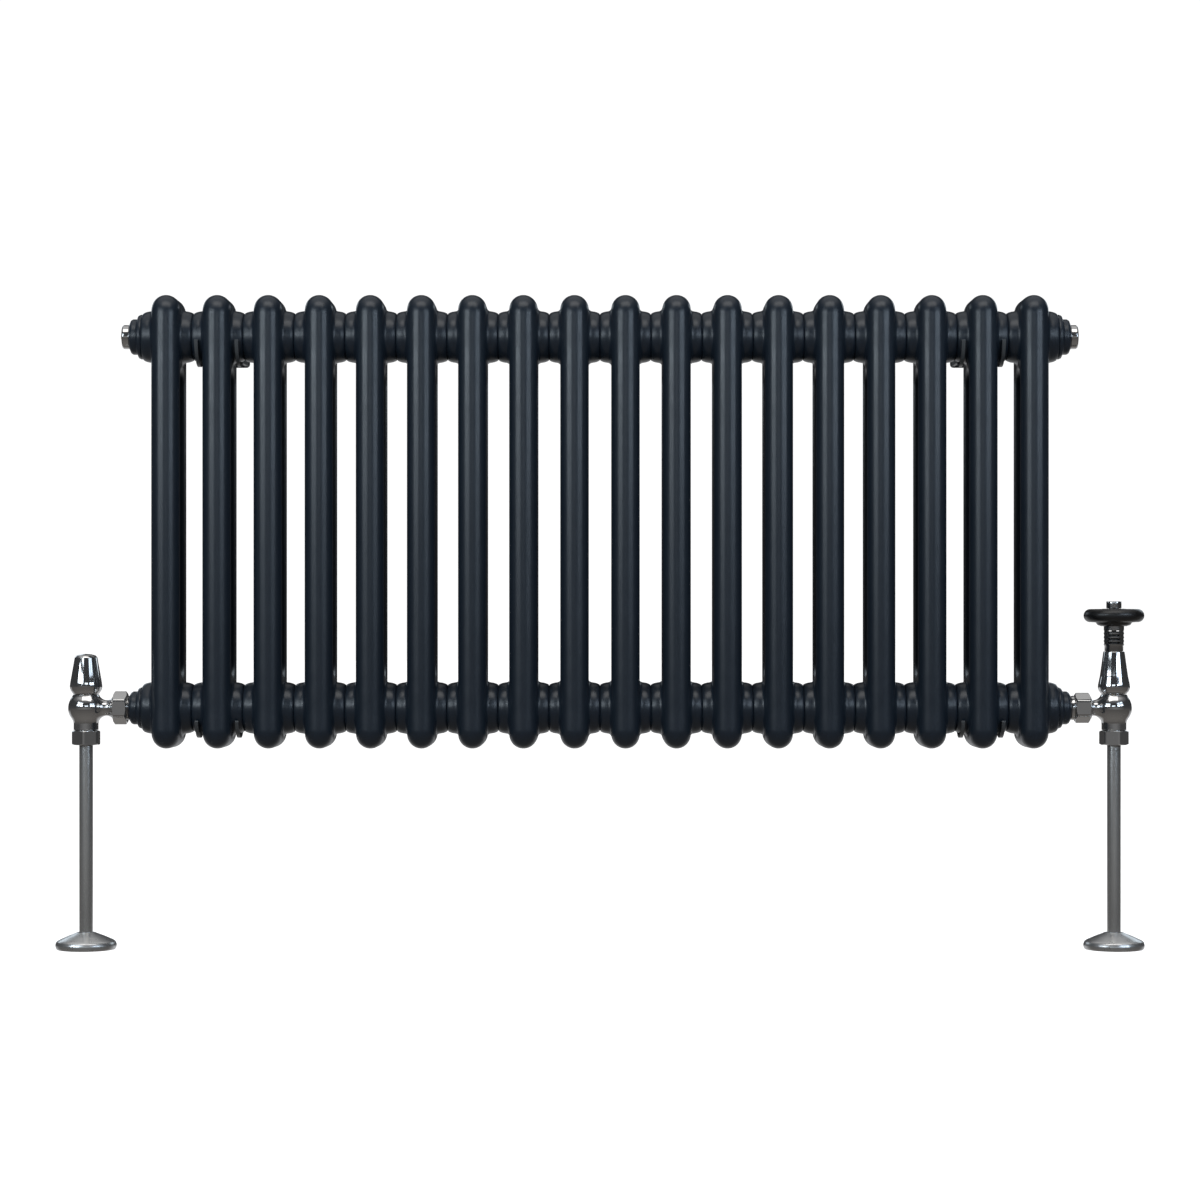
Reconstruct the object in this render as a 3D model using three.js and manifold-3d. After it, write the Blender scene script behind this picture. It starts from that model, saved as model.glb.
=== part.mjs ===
// A column radiator of eighteen tubular steel sections with two rows of tubes. It hangs on
// four wall brackets and has a chrome lockshield valve on its left and a chrome thermostatic
// valve with a wooden wheel on its right, each on a chrome pipe with a floor plate.
// Millimetres. +X is to the right, the front faces -Y and the floor is z = 0.

import * as THREE from 'three';
import { mergeVertices } from 'three/addons/utils/BufferGeometryUtils.js';
import Module from 'manifold-3d';

const wasm = await Module();
wasm.setup();

// ---- Driving dimensions ----

const GAP = 0.3; // clearance between pieces that touch

const SECTION_COUNT = 18;
const PITCH = 45; // from one section to the next
const TUBE = 25; // tube diameter, and the width of a section's head
const DEPTH = 66; // front of the front tubes to the back of the rear tubes
const HEIGHT = 400;
const LIFT = 178.5; // floor to the underside of the sections
const STEEL = 1.5; // sheet thickness
const SECTION_CORNER = 17; // rounding of a section's corners, seen from the side
const THROAT = 34; // hub centre to the opening between the two tubes

const HUB_INSET = 35.5; // hub centre below the top, and above the underside
const HUB = { root: 21.8, weld: 20.5, bore: 17.5 };

const BUSH = { shank: 15.8, bore: 9.5, flangeEnd: 27.3, end: 34.5, inside: 9 };
const BUSH_STEPS = { top: [19.5, 15.5], bottom: [18, 14.5] }; // flange and step radii

const WALL_Y = 60; // wall behind the middle of the tubes
const BRACKETED_SECTION = 2; // counted from each end
const HOOK = { offset: 17.75, thick: 3, inner: 23.8, outer: 26.6, back: 24.6, top: 10, low: -22 };
const HOOK_ANGLES = { upperTip: 190, lowerTip: 206, belly: 305, heel: 350 }; // round the hub, from +Y
const WALL_PLATE = { halfWidth: 20, thick: 3, low: -22, high: 14, hole: 3.5 };

const VALVE_X = 456; // valve axes, either side of the middle
const PIPE = { radius: 6, bore: 5.2 };
const FLOOR_PLATE = { profile: [[26, 0], [27, 2.5], [26.6, 6.2], [24, 8.4], [9.7, 15]], sides: 20 };

// Shared by both angle valves, measured from the point where their two axes meet.
const BODY = { ball: 15.8, neck: 11, collar: 11.4, top: 12.1, neckEnd: -19.8, threadEnd: -27 };
const WATERWAY = { radius: 4.5, seat: -4.5, chamber: 7.5, socketEnd: -14 };
const THREAD = 9.2; // the body's pipe thread, and the union tail
const PIPE_NUT = { corner: 13.4, low: -32.8, high: -20.1, lip: 3.1 };
const OLIVE = { end: 8.2, middle: 9 };
const UNION = { neck: 7.3, spigot: 10.4, tailEnd: 51, bushEnd: 39 };
// Lengths along the union from where its nut starts, and back to the body's shoulder.
const UNION_JOINT = { shoulder: 2.6, spigotEnd: 6.2, flange: 2.5 };
const INSERT = { foot: 3.6, shank: 7.1, flange: 9.2, neck: 6 };

// The nut's ends and corners, and the turn of the pipe nut in degrees.
const LOCKSHIELD = { nutFrom: 24.8, nutTo: 36.9, nutCorner: 15.1, pipeNutTurn: 28 };
const THERMOSTAT = { nutFrom: 21.7, nutTo: 34.9, nutCorner: 13.8, pipeNutTurn: -16 };

const CAP = {
  outside: [[9.8, 12.4], [11.5, 12.4], [13.6, 16], [14.4, 19.5], [10.8, 45.3], [9.6, 47.9], [0, 47.9]],
  hollow: [[0, 34], [7, 34], [9.8, 19.5]],
};
const BELL = {
  outside: [[9.6, 12.5], [11.1, 12.5], [13.4, 15.5], [14.2, 18.2], [12.6, 28], [9.3, 50.1]],
  bore: [[7.8, 50.1], [7.8, 40], [9.6, 24]],
  top: 50.1,
};
const NECK = { foot: 38, inner: 7.2, waist: 8.4, rim: 56.5, radius: 8.9, top: 75.6, bore: 6.2 };
const SLOTS = { rows: [56.9, 60.1, 63.5, 67], perRow: 3, turn: 80, width: 13, height: 1.7 };
const WHEEL = {
  radius: 26.6, low: 75.9, high: 87.9, bore: 4.5, rim: 6, sides: 24,
  boss: [[11, 72.4], [14.6, 73.4], [16, 75.9]], // outside of the boss below, round the neck's top
};
const TOP_NUT = { radius: 6.65, shank: 4.2, low: 77, seat: 88.2, top: 94.5, notch: 1.8, notchDepth: 1.4 };

const ROUND = 14; // sides of a turned piece
const COARSE = 10; // sides of a hidden piece
const HUB_SIDES = 8; // few, as there are 36 hubs and each is cut by a curved head

// ---- Derived places ----

const LOW_HUB = LIFT + HUB_INSET;
const HIGH_HUB = LIFT + HEIGHT - HUB_INSET;
const END_X = ((SECTION_COUNT - 1) / 2) * PITCH; // middle of an end section
const HALF_PITCH = PITCH / 2 - GAP / 2;
const HEAD_FLAT = TUBE / 2 - 1; // inside a head's flat side
const MIDDLE_Y = (DEPTH / 2 - WALL_Y) / 2; // puts the whole depth evenly about y = 0

// Stands an outline of [y, z] up, with its thickness along X.
const UPRIGHT = new THREE.Matrix4().makeBasis(
  new THREE.Vector3(0, 1, 0), new THREE.Vector3(0, 0, 1), new THREE.Vector3(1, 0, 0),
);

// ---- Materials ----

const paint = () => new THREE.MeshStandardMaterial({ color: 0x2c363f, roughness: 0.45, metalness: 0.2 });
const chrome = () => new THREE.MeshStandardMaterial({ color: 0xb8bbbd, roughness: 0.12, metalness: 1 });
const brass = () => new THREE.MeshStandardMaterial({ color: 0xb98f4a, roughness: 0.35, metalness: 1 });
const steel = () => new THREE.MeshStandardMaterial({ color: 0x8d9093, roughness: 0.4, metalness: 0.9 });
const blackWood = () => new THREE.MeshStandardMaterial({ color: 0x101114, roughness: 0.4, metalness: 0 });
const darkPlastic = () => new THREE.MeshStandardMaterial({ color: 0x2a2a2a, roughness: 0.6, metalness: 0 });

// ---- Geometry helpers ----

// A turned ring or knob about +Z. The profile's points are [radius, height]; one that has no
// point on the axis is closed on itself.
function turned(profile, sides = ROUND) {
  const onAxis = profile.some(([radius]) => radius === 0);
  const points = (onAxis ? profile : [...profile, profile[0]]).map(([r, z]) => new THREE.Vector2(r, z));
  return new THREE.LatheGeometry(points, sides).rotateX(Math.PI / 2);
}

// The same about +X, for which heights are distances along X.
function turnedAlongX(profile, sides = ROUND) {
  return turned(profile, sides).rotateY(Math.PI / 2);
}

// A round rod along Z.
function rod(radius, low, high, sides = ROUND) {
  return turned([[0, low], [radius, low], [radius, high], [0, high]], sides);
}

// Points on a circle's arc, as [radius, height], from one angle in degrees to another.
function arc(centre, radius, from, to, steps) {
  return Array.from({ length: steps + 1 }, (_, i) => {
    const angle = THREE.MathUtils.degToRad(from + ((to - from) * i) / Math.max(steps, 1));
    return [centre[0] + radius * Math.cos(angle), centre[1] + radius * Math.sin(angle)];
  });
}

// A closed mesh with shared vertices, as a solid that can be joined and cut.
function solid(geometry) {
  const bare = geometry.clone();
  bare.deleteAttribute('normal');
  bare.deleteAttribute('uv');
  const merged = mergeVertices(bare, 1e-4);
  const index = merged.index.array;
  const kept = [];
  for (let i = 0; i < index.length; i += 3) {
    const [a, b, c] = index.slice(i, i + 3);
    if (a !== b && b !== c && a !== c) kept.push(a, b, c);
  }
  const vertProperties = new Float32Array(merged.attributes.position.array);
  return new wasm.Manifold(new wasm.Mesh({ numProp: 3, vertProperties, triVerts: new Uint32Array(kept) }));
}

function geometryOf(manifold) {
  const { vertProperties, triVerts } = manifold.getMesh();
  const geometry = new THREE.BufferGeometry();
  geometry.setAttribute('position', new THREE.BufferAttribute(vertProperties, 3));
  geometry.setIndex(new THREE.BufferAttribute(triVerts, 1));
  geometry.computeVertexNormals();
  return geometry;
}

function join(first, ...others) {
  return others.reduce((whole, other) => whole.add(solid(other)), solid(first));
}

function cut(whole, ...tools) {
  return tools.reduce((rest, tool) => rest.subtract(solid(tool)), whole);
}

function box(x, y, z) {
  const size = [x, y, z].map(([low, high]) => high - low);
  const centre = [x, y, z].map(([low, high]) => (low + high) / 2);
  return new THREE.BoxGeometry(...size).translate(...centre);
}

// Two of its corners are on the X axis.
function hexPrism(corner, low, high) {
  return new THREE.CylinderGeometry(corner, corner, high - low, 6)
    .rotateY(Math.PI / 6).rotateX(Math.PI / 2).translate(0, 0, (low + high) / 2);
}

function piece(name, geometry, material, position = [0, 0, 0]) {
  const mesh = new THREE.Mesh(geometry, material());
  mesh.name = name;
  mesh.position.set(...position);
  return mesh;
}

function group(position, turn, ...children) {
  const node = new THREE.Group();
  node.position.set(...position);
  node.rotation.z = turn;
  node.add(...children);
  return node;
}

// ---- Sections ----

// A rectangle with rounded corners, its rounding in equal steps.
function roundedOutline(halfWidth, low, high, corner, steps) {
  const inset = halfWidth - corner;
  return [
    ...arc([inset, low + corner], corner, -90, 0, steps),
    ...arc([inset, high - corner], corner, 0, 90, steps),
    ...arc([-inset, high - corner], corner, 90, 180, steps),
    ...arc([-inset, low + corner], corner, 180, 270, steps),
  ].map(([y, z]) => new THREE.Vector2(y, z));
}

// The two tubes and both heads as one plate with a long opening and rounded edges. Inset 0
// gives the outside, and the sheet's thickness gives the hollow inside it.
function sectionPlate({ inset, bevel, bevelSteps, cornerSteps, throatCorner, throatSteps }) {
  const throat = (DEPTH - 2 * TUBE) / 2 + inset;
  const outline = roundedOutline(
    DEPTH / 2 - inset - bevel, inset + bevel, HEIGHT - inset - bevel,
    Math.max(SECTION_CORNER - inset - bevel, 1), cornerSteps,
  );
  const opening = roundedOutline(
    throat + bevel, HUB_INSET + THROAT - inset - bevel, HEIGHT - HUB_INSET - THROAT + inset + bevel,
    throatCorner, throatSteps,
  );
  const shape = new THREE.Shape(outline);
  shape.holes.push(new THREE.Path(opening));
  const flat = TUBE - 2 * inset - 2 * (bevel + 1);
  const plate = new THREE.ExtrudeGeometry(shape, {
    depth: flat, bevelThickness: bevel + 1, bevelSize: bevel, bevelSegments: bevelSteps,
  });
  return plate.translate(0, 0, -flat / 2).applyMatrix4(UPRIGHT);
}

function sectionGeometry() {
  const hub = turnedAlongX([
    [0, -HALF_PITCH], [HUB.weld, -HALF_PITCH], [HUB.root, -HEAD_FLAT],
    [HUB.root, HEAD_FLAT], [HUB.weld, HALF_PITCH], [0, HALF_PITCH],
  ], HUB_SIDES);
  const bore = rod(HUB.bore, -PITCH, PITCH, HUB_SIDES).rotateY(Math.PI / 2);
  const hubHeights = [HUB_INSET, HEIGHT - HUB_INSET];
  const atHubs = (geometry) => hubHeights.map((z) => geometry.clone().translate(0, 0, z));
  const outside = sectionPlate({
    inset: 0, bevel: 11, bevelSteps: 2, cornerSteps: 2, throatCorner: 16, throatSteps: 1,
  });
  const hollow = sectionPlate({
    inset: STEEL, bevel: 7.5, bevelSteps: 1, cornerSteps: 1, throatCorner: 0, throatSteps: 0,
  });
  return geometryOf(cut(join(outside, ...atHubs(hub)), hollow, ...atHubs(bore)));
}

function sections() {
  const geometry = sectionGeometry();
  return Array.from({ length: SECTION_COUNT }, (_, i) => {
    const name = `section_${String(i + 1).padStart(2, '0')}`;
    return piece(name, geometry, paint, [i * PITCH - END_X, 0, LIFT]);
  });
}

// ---- End bushes and plugs, along +X from the middle of the end section ----

function bushGeometry([flange, step]) {
  return turnedAlongX([
    [BUSH.bore, BUSH.inside], [BUSH.shank, BUSH.inside], [BUSH.shank, HALF_PITCH + GAP],
    [flange, HALF_PITCH + GAP], [flange, BUSH.flangeEnd], [step, BUSH.flangeEnd],
    [step, BUSH.end], [BUSH.bore, BUSH.end],
  ]);
}

const PLUG = {
  shank: 9.1, inside: 20, head: 10.6, seat: BUSH.end + GAP, end: 40.8, chamfer: 0.9,
  slotDepth: 1.5, slotHalf: 1,
};
const VENT_SCREW = { radius: 3, bore: 3.4, inside: 24, head: 2.1, headFrom: 38.8, end: 42.2 };

// The plug's profile from its shank to its chamfered head.
const plugProfile = [
  [PLUG.shank, PLUG.inside], [PLUG.shank, PLUG.seat], [PLUG.head, PLUG.seat],
  [PLUG.head, PLUG.end - PLUG.chamfer], [PLUG.head - PLUG.chamfer, PLUG.end],
];

function ventPlugGeometry() {
  return turnedAlongX([[VENT_SCREW.bore, PLUG.inside], ...plugProfile, [VENT_SCREW.bore, PLUG.end]]);
}

function blankingPlugGeometry() {
  const { end, head, slotDepth, slotHalf } = PLUG;
  const slot = box([end - slotDepth, end + 1], [-head, head], [-slotHalf, slotHalf]);
  return geometryOf(cut(solid(turnedAlongX([[0, PLUG.inside], ...plugProfile, [0, PLUG.end]])), slot));
}

function ventScrewGeometry() {
  const { radius, inside, head, headFrom, end } = VENT_SCREW;
  const shank = rod(radius, inside, headFrom, COARSE).rotateY(Math.PI / 2);
  return geometryOf(join(shank, box([headFrom - 1, end], [-head, head], [-head, head])));
}

function endPieces() {
  const top = [0, 0, HIGH_HUB];
  const bottom = [0, 0, LOW_HUB];
  const leftEnd = group([-END_X, 0, 0], Math.PI,
    piece('bush_top_left', bushGeometry(BUSH_STEPS.top), paint, top),
    piece('bush_bottom_left', bushGeometry(BUSH_STEPS.bottom), paint, bottom),
    piece('vent_plug', ventPlugGeometry(), chrome, top),
    piece('vent_screw', ventScrewGeometry(), chrome, top));
  const rightEnd = group([END_X, 0, 0], 0,
    piece('bush_top_right', bushGeometry(BUSH_STEPS.top), paint, top),
    piece('bush_bottom_right', bushGeometry(BUSH_STEPS.bottom), paint, bottom),
    piece('blanking_plug', blankingPlugGeometry(), chrome, top));
  return [leftEnd, rightEnd];
}

// ---- Wall brackets, about the hub they carry ----

// Side view of a hook: a cradle round the hub with its tip in front, and an arm to the wall.
function hookGeometry(tipAngle, middle) {
  const inner = arc([0, 0], HOOK.inner, tipAngle, HOOK_ANGLES.heel, 8);
  const outer = arc([0, 0], HOOK.outer, HOOK_ANGLES.belly, tipAngle, 6);
  const plateY = WALL_Y - WALL_PLATE.thick / 2;
  const outline = [
    ...inner, [HOOK.back, HOOK.top], [plateY, HOOK.top], [plateY, HOOK.low], ...outer,
  ].map(([y, z]) => new THREE.Vector2(y, z));
  const shape = new THREE.Shape(outline);
  const flat = new THREE.ExtrudeGeometry(shape, { depth: HOOK.thick, bevelEnabled: false });
  return flat.applyMatrix4(UPRIGHT).translate(middle - HOOK.thick / 2, 0, 0);
}

function bracketGeometry(tipAngle) {
  const { halfWidth, thick, low, high, hole } = WALL_PLATE;
  const plate = box([-halfWidth, halfWidth], [WALL_Y - thick, WALL_Y], [low, high]);
  const hooks = [-HOOK.offset, HOOK.offset].map((middle) => hookGeometry(tipAngle, middle));
  const screwHole = new THREE.CylinderGeometry(hole, hole, 4 * thick, COARSE).translate(0, WALL_Y, 0);
  return geometryOf(cut(join(plate, ...hooks), screwHole));
}

function brackets() {
  const x = END_X - (BRACKETED_SECTION - 1) * PITCH;
  const upper = bracketGeometry(HOOK_ANGLES.upperTip);
  const lower = bracketGeometry(HOOK_ANGLES.lowerTip);
  return [
    piece('upper_bracket_left', upper, steel, [-x, 0, HIGH_HUB]),
    piece('upper_bracket_right', upper, steel, [x, 0, HIGH_HUB]),
    piece('lower_bracket_left', lower, steel, [-x, 0, LOW_HUB]),
    piece('lower_bracket_right', lower, steel, [x, 0, LOW_HUB]),
  ];
}

// ---- Parts that both angle valves have. +X points to the radiator, +Z is up. ----

function valveBodyGeometry({ nutFrom }) {
  const { ball, neck, collar, top, neckEnd, threadEnd } = BODY;
  const angleAt = (radius) => THREE.MathUtils.radToDeg(Math.acos(radius / ball));
  const upright = turned([
    [0, threadEnd], [THREAD, threadEnd], [THREAD, neckEnd], [neck, neckEnd],
    ...arc([0, 0], ball, -angleAt(neck), angleAt(collar), 4), [collar, top], [0, top],
  ]);
  const shoulder = nutFrom - UNION_JOINT.shoulder;
  const spigotEnd = nutFrom + UNION_JOINT.spigotEnd;
  const spigot = turnedAlongX([
    [0, 0], [UNION.neck, 0], [UNION.neck, shoulder], [collar, shoulder], [collar, nutFrom - GAP],
    [UNION.spigot, nutFrom - GAP], [UNION.spigot, spigotEnd], [0, spigotEnd],
  ]);
  const { radius, seat, chamber, socketEnd } = WATERWAY;
  const pipeSocket = rod(PIPE.radius + GAP, 2 * threadEnd, socketEnd);
  const inlet = rod(radius, socketEnd - 1, 0, COARSE);
  const well = rod(chamber, seat, 2 * top);
  const outlet = rod(radius, 0, 2 * nutFrom, COARSE).rotateY(Math.PI / 2);
  return geometryOf(cut(join(upright, spigot), pipeSocket, inlet, well, outlet));
}

function unionTailGeometry({ nutFrom, nutTo }) {
  const from = nutFrom + UNION_JOINT.spigotEnd + GAP;
  const flangeEnd = from + UNION_JOINT.flange;
  const { spigot, bushEnd, tailEnd } = UNION;
  return turnedAlongX([
    [WATERWAY.radius, from], [spigot, from], [spigot, flangeEnd], [THREAD, flangeEnd],
    [THREAD, nutTo + GAP], [spigot, nutTo + GAP], [spigot, bushEnd - GAP], [THREAD, bushEnd - GAP],
    [THREAD, tailEnd], [WATERWAY.radius, tailEnd],
  ]);
}

// A hexagonal nut about +Z, bored from one height to another by each [radius, from, to].
function nutGeometry(corner, low, high, bores) {
  const drills = bores.map(([radius, from, to]) => rod(radius, from, to));
  return geometryOf(cut(solid(hexPrism(corner, low, high)), ...drills));
}

function unionNutGeometry({ nutFrom, nutTo, nutCorner }) {
  const wall = nutFrom + UNION_JOINT.spigotEnd + UNION_JOINT.flange + 2 * GAP;
  const bores = [[UNION.spigot + GAP, nutFrom - 1, wall], [THREAD + GAP, wall - 1, nutTo + 1]];
  return nutGeometry(nutCorner, nutFrom, nutTo, bores).rotateY(Math.PI / 2);
}

function pipeNutGeometry({ pipeNutTurn }) {
  const { corner, low, high, lip } = PIPE_NUT;
  const bores = [[PIPE.radius + GAP, low - 1, high], [THREAD + GAP, low + lip, high + 1]];
  return nutGeometry(corner, low, high, bores).rotateZ(THREE.MathUtils.degToRad(pipeNutTurn));
}

function oliveGeometry() {
  const low = PIPE_NUT.low + PIPE_NUT.lip + GAP;
  const high = BODY.threadEnd - GAP;
  const bore = PIPE.radius + GAP;
  const { end, middle } = OLIVE;
  return turned([[bore, low], [end, low], [middle, (low + high) / 2], [end, high], [bore, high]]);
}

function pipeGeometry() {
  const top = LOW_HUB + WATERWAY.socketEnd - GAP;
  return turned([[PIPE.bore, 0], [PIPE.radius, 0], [PIPE.radius, top], [PIPE.bore, top]]);
}

function floorPlateGeometry() {
  const { profile, sides } = FLOOR_PLATE;
  const bore = PIPE.radius + GAP;
  const height = profile.at(-1)[1];
  return turned([[bore, 0], ...profile, [bore, height]], sides);
}

function valveParts(name, spec) {
  return [
    piece(`${name}_valve_body`, valveBodyGeometry(spec), chrome),
    piece(`${name}_union_tail`, unionTailGeometry(spec), chrome),
    piece(`${name}_union_nut`, unionNutGeometry(spec), chrome),
    piece(`${name}_pipe_nut`, pipeNutGeometry(spec), chrome),
    piece(`${name}_olive`, oliveGeometry(), brass),
  ];
}

// A threaded insert in the top of a valve body, with a flange and a narrower neck above it.
function insertGeometry(bore, flangeTop, neckTop) {
  const { foot, shank, flange, neck } = INSERT;
  const flangeLow = BODY.top + GAP;
  return turned([
    [bore, foot], [shank, foot], [shank, flangeLow], [flange, flangeLow], [flange, flangeTop],
    [neck, flangeTop], [neck, neckTop], [bore, neckTop],
  ], COARSE);
}

// ---- Lockshield valve ----

const SPINDLE = { radius: 3, bore: 3.3, foot: 0.5, shoulder: 22, head: 2.1, top: 27 };
const VALVE_PLUG = { radius: 6.4, low: -2.6, high: 2.2, socket: -0.8 };

function spindleGeometry() {
  const { radius, foot, shoulder, head, top } = SPINDLE;
  const stem = rod(radius, foot, shoulder, COARSE);
  return geometryOf(join(stem, box([-head, head], [-head, head], [shoulder - 1, top])));
}

function valvePlugGeometry() {
  const { radius, low, high, socket } = VALVE_PLUG;
  return turned([
    [0, low], [radius, low], [radius, high], [SPINDLE.bore, high], [SPINDLE.bore, socket], [0, socket],
  ], COARSE);
}

function capGeometry() {
  return turned([...CAP.hollow, ...CAP.outside]);
}

function lockshieldValve() {
  return group([-VALVE_X, 0, LOW_HUB], 0,
    ...valveParts('lockshield', LOCKSHIELD),
    piece('lockshield_bonnet', insertGeometry(SPINDLE.bore + GAP, 17, 21), brass),
    piece('lockshield_spindle', spindleGeometry(), brass),
    piece('lockshield_plug', valvePlugGeometry(), brass),
    piece('lockshield_cap', capGeometry(), chrome));
}

// ---- Thermostatic valve ----

const PIN = { radius: 2, disc: 6.4, low: -2.6, discTop: -0.6, top: 30 };
const SENSOR = { radius: 5.4, stem: 2.2, foot: PIN.top + GAP, stemTop: 34, shoulder: 36, top: 68 };

function pinGeometry() {
  const { radius, disc, low, discTop, top } = PIN;
  return turned([
    [0, low], [disc, low], [disc, discTop], [radius, discTop], [radius, top], [0, top],
  ], COARSE);
}

function sensorGeometry() {
  const { radius, stem, foot, stemTop, shoulder, top } = SENSOR;
  return turned([
    [0, foot], [stem, foot], [stem, stemTop], [radius, shoulder], [radius, top], [0, top],
  ], COARSE);
}

function bellGeometry() {
  return turned([...BELL.outside, ...BELL.bore]);
}

// The sleeve that the wheel is screwed to, with rows of slots for the room's air. Each row has a
// slot in front, turned a little towards the radiator.
function neckGeometry() {
  const { foot, inner, waist, rim, top, bore, radius } = NECK;
  const bellTop = BELL.top + GAP;
  const sleeve = turned([
    [bore, foot], [inner, foot], [inner, bellTop], [waist, bellTop], [waist, rim], [radius, rim + 1],
    [radius, top], [bore, top],
  ]);
  const halfWidth = SLOTS.width / 2;
  const slots = SLOTS.rows.flatMap((z) => Array.from({ length: SLOTS.perRow }, (_, i) => (
    box([0, radius + 1], [-halfWidth, halfWidth], [z, z + SLOTS.height])
      .rotateZ(THREE.MathUtils.degToRad(SLOTS.turn + (360 * i) / SLOTS.perRow))
  )));
  return geometryOf(cut(solid(sleeve), ...slots));
}

function wheelGeometry() {
  const { radius, low, high, bore, rim, sides, boss } = WHEEL;
  const middle = (low + high) / 2;
  const recess = NECK.radius + GAP;
  return turned([
    [bore, low], [recess, low], [recess, boss[0][1]], ...boss,
    ...arc([radius - rim, middle], rim, -90, 90, 6), [bore, high],
  ], sides);
}

function topNutGeometry() {
  const { radius, shank, low, seat, top, notch, notchDepth } = TOP_NUT;
  const nut = turned([[0, low], [shank, low], [shank, seat], [radius, seat], [radius, top], [0, top]]);
  const notches = [0, 1, 2].map((i) => (
    box([-radius - 1, radius + 1], [-notch / 2, notch / 2], [top - notchDepth, top + 1])
      .rotateZ((i * Math.PI) / 3)
  ));
  return geometryOf(cut(solid(nut), ...notches));
}

function thermostatValve() {
  return group([VALVE_X, 0, LOW_HUB], Math.PI,
    ...valveParts('thermostat', THERMOSTAT),
    piece('thermostat_insert', insertGeometry(PIN.radius + GAP, 16, 26), brass),
    piece('thermostat_pin', pinGeometry(), steel),
    piece('thermostat_sensor', sensorGeometry(), darkPlastic),
    piece('thermostat_bell_cover', bellGeometry(), chrome),
    piece('thermostat_neck', neckGeometry(), chrome),
    piece('thermostat_wheel', wheelGeometry(), blackWood),
    piece('thermostat_top_nut', topNutGeometry(), chrome));
}

// ---- Pipes and floor plates ----

function pipework() {
  return [['left', -VALVE_X], ['right', VALVE_X]].flatMap(([side, x]) => [
    piece(`pipe_${side}`, pipeGeometry(), chrome, [x, 0, 0]),
    piece(`floor_plate_${side}`, floorPlateGeometry(), chrome, [x, 0, 0]),
  ]);
}

const radiator = group([0, MIDDLE_Y, 0], 0,
  ...sections(), ...endPieces(), ...brackets(), lockshieldValve(), thermostatValve(), ...pipework());

export default radiator;
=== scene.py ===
import math

import bmesh
import bpy
import numpy as np
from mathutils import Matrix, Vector


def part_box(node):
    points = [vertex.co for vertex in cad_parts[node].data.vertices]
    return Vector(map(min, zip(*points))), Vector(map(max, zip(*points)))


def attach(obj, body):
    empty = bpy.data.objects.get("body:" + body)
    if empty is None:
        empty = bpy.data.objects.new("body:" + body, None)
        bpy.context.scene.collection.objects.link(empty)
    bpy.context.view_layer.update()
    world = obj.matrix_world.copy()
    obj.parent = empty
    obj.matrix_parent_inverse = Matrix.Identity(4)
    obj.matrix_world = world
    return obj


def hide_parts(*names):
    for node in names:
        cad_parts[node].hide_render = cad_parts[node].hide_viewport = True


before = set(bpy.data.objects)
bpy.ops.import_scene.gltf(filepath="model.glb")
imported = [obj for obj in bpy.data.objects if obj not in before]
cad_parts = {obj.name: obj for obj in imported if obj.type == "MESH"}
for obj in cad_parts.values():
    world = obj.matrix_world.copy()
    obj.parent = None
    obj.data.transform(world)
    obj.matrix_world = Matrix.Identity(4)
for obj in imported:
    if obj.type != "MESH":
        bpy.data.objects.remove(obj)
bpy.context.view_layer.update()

MM = 0.001
BODY = "radiator"
HANDLE = "thermostat_handle"

# ---- Where the frame's nodes are, in metres ----


def middle(node):
    low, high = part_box(node)
    return (low + high) / 2


AXIS_Y = middle("pipe_left").y
LOW_HUB = middle("bush_bottom_left").z
HIGH_HUB = middle("bush_top_left").z
FOOT_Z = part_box("section_01")[0].z
LEFT_X, RIGHT_X = middle("pipe_left").x, middle("pipe_right").x
SECTIONS = sorted(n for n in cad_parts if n.startswith("section_"))
FIRST_X, LAST_X = middle(SECTIONS[0]).x, middle(SECTIONS[-1]).x
WALL_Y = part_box("upper_bracket_left")[1].y

# ---- Materials ----


def colour_ramp(tree, factor, stops):
    """Colours or grey values at positions along the factor."""
    node = tree.nodes.new("ShaderNodeValToRGB")
    elements = node.color_ramp.elements
    while len(elements) < len(stops):
        elements.new(0.5)
    for element, (position, value) in zip(elements, stops):
        element.position = position
        element.color = (*value, 1) if isinstance(value, tuple) else (value, value, value, 1)
    tree.links.new(factor, node.inputs["Fac"])
    return node.outputs["Color"]


def blended(tree, kind, first, second):
    node = tree.nodes.new("ShaderNodeMix")
    node.data_type, node.blend_type = "RGBA", kind
    node.inputs["Factor"].default_value = 1
    tree.links.new(first, node.inputs["A"])
    tree.links.new(second, node.inputs["B"])
    return node.outputs["Result"]


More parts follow.
